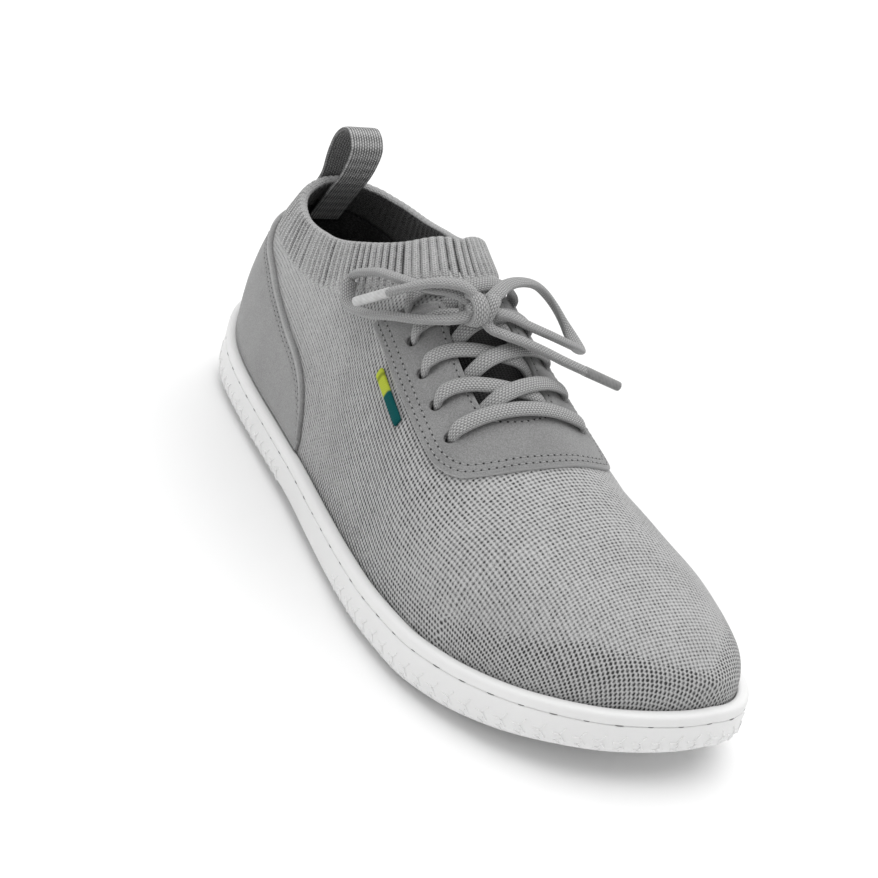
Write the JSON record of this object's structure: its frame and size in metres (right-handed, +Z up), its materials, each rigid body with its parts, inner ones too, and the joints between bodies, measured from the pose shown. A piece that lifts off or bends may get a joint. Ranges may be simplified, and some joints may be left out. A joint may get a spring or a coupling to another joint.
{
  "type": "barefoot shoe",
  "caption": "Low sock-like shoe: hollow knit upper with ribbed collar, laced throat with bow, heel panel and pull loop, on a thin moulded rubber cup sole",
  "frame": {"origin": "on the floor, under the middle of the box around the shoe without its bow", "axes": "+X from heel to toe, +Y from the outer to the inner side of the foot, +Z up from the floor"},
  "size_m": [0.272, 0.1047, 0.1091],
  "materials": {
    "rubber_white": "white moulded rubber, satin",
    "knit_grey": "mid grey engineered knit, matt",
    "knit_dark": "dark grey knit lining, matt",
    "microfibre_grey": "grey sueded microfibre, matt",
    "webbing_grey": "grey ribbed webbing, matt",
    "ribbon_teal": "woven ribbon, teal and lime",
    "lace_grey": "grey braided lace with light flecks",
    "aglet_grey": "satin grey plastic tip"
  },
  "bodies": {
    "root": {"sole": "rubber_white", "insole": "knit_dark", "tongue": "knit_dark", "upper": "knit_grey", "eyestay": "microfibre_grey", "heel_counter": "microfibre_grey", "pull_loop": "webbing_grey", "side_tag": "ribbon_teal", "lace_crossings": "lace_grey", "bow_knot": "lace_grey", "bow_loop_outer": "lace_grey", "bow_loop_inner": "lace_grey", "lace_end_outer": "lace_grey", "lace_end_inner": "lace_grey", "aglet_outer": "aglet_grey", "aglet_inner": "aglet_grey"}
  },
  "joints": []
}
